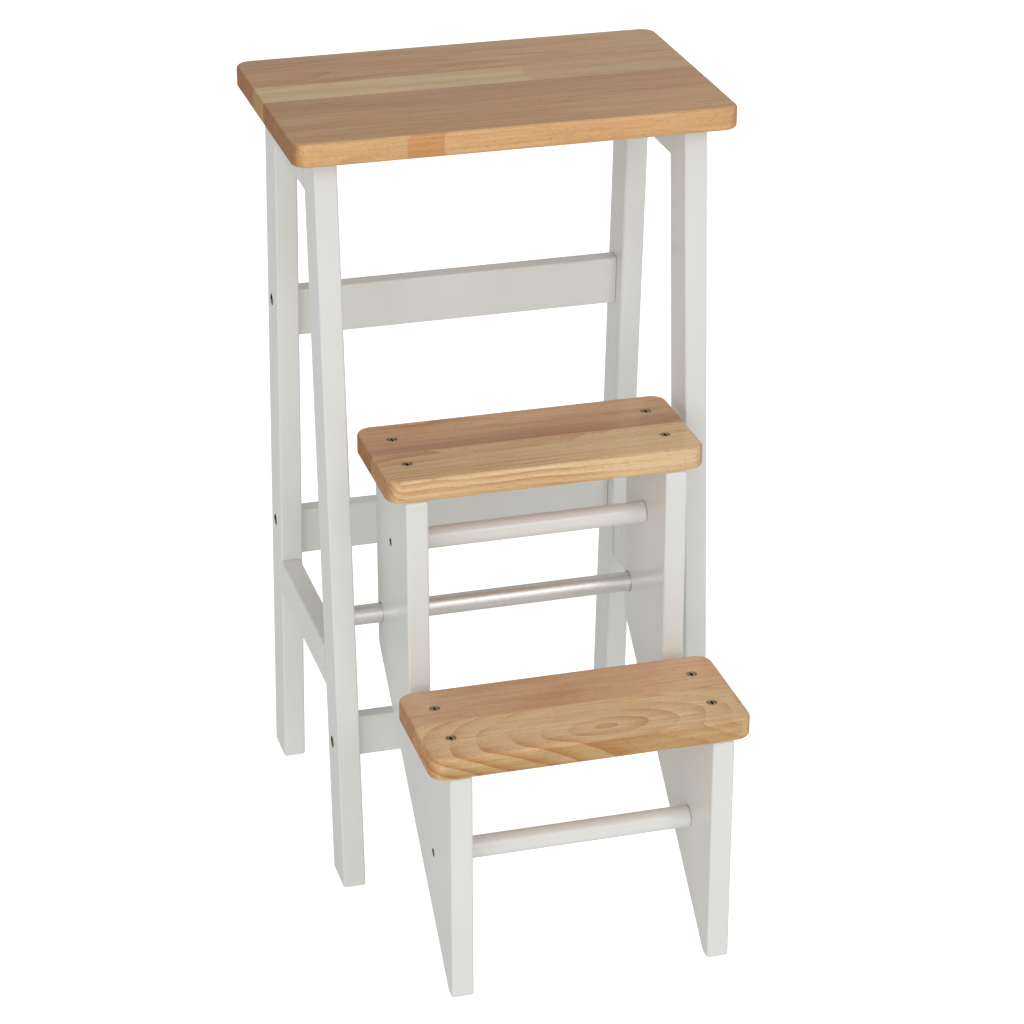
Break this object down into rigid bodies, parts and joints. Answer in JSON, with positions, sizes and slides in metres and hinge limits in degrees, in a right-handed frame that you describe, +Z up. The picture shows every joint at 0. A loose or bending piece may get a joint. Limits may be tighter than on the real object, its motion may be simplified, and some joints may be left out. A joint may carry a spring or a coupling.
{
  "type": "folding step stool",
  "caption": "Tall stool with a splayed painted wooden frame, a wooden seat, and a tread unit that swings out from under the seat on a tube.",
  "frame": {"origin": "on the floor, under the middle of the overall length and depth with the steps swung out", "axes": "+X across the stool to the right of someone in front of it, -Y towards the front where the steps come out, +Z up"},
  "size_m": [0.362, 0.4614, 0.65],
  "materials": {
    "painted_wood": "white paint, satin",
    "lacquered_wood": "honey-brown stain under semi-gloss lacquer",
    "bare_wood": "bare beech",
    "tube_steel": "satin",
    "dark_steel": "dark phosphated",
    "yellow_zinc": "yellow zinc, satin"
  },
  "bodies": {
    "frame": {"seat": "lacquered_wood", "front_left_leg": "painted_wood", "front_right_leg": "painted_wood", "rear_left_leg": "painted_wood", "rear_right_leg": "painted_wood", "left_upper_rail": "painted_wood", "right_upper_rail": "painted_wood", "left_middle_rail": "painted_wood", "right_middle_rail": "painted_wood", "rear_upper_crossbar": "painted_wood", "rear_middle_crossbar": "painted_wood", "front_lower_crossbar": "painted_wood", "rear_upper_screw_left": "yellow_zinc", "rear_upper_screw_right": "yellow_zinc", "rear_middle_screw_left": "yellow_zinc", "rear_middle_screw_right": "yellow_zinc", "front_lower_screw_left": "yellow_zinc", "front_lower_screw_right": "yellow_zinc", "rear_upper_pin_left": "bare_wood", "rear_upper_pin_right": "bare_wood", "rear_middle_pin_left": "bare_wood", "rear_middle_pin_right": "bare_wood", "front_lower_pin_left": "bare_wood", "front_lower_pin_right": "bare_wood", "seat_screw_front_left": "dark_steel", "seat_screw_rear_left": "dark_steel", "seat_screw_front_right": "dark_steel", "seat_screw_rear_right": "dark_steel"},
    "step_unit": {"pivot_tube": "tube_steel", "left_side_board": "painted_wood", "right_side_board": "painted_wood", "middle_tread": "lacquered_wood", "lower_tread": "lacquered_wood", "upper_round_rail": "painted_wood", "lower_round_rail": "painted_wood", "middle_tread_screw_front_left": "dark_steel", "middle_tread_screw_rear_left": "dark_steel", "middle_tread_screw_front_right": "dark_steel", "middle_tread_screw_rear_right": "dark_steel", "lower_tread_screw_front_left": "dark_steel", "lower_tread_screw_rear_left": "dark_steel", "lower_tread_screw_front_right": "dark_steel", "lower_tread_screw_rear_right": "dark_steel", "upper_round_rail_screw_left": "dark_steel", "upper_round_rail_screw_right": "dark_steel", "lower_round_rail_screw_left": "dark_steel", "lower_round_rail_screw_right": "dark_steel"}
  },
  "joints": [
    {"name": "step_unit_swing", "type": "hinge", "parent": "frame", "child": "step_unit", "pos_m": [0, -0.0073, 0.2375], "axis": [-1, 0, 0], "range_deg": [0, 165.9]}
  ]
}
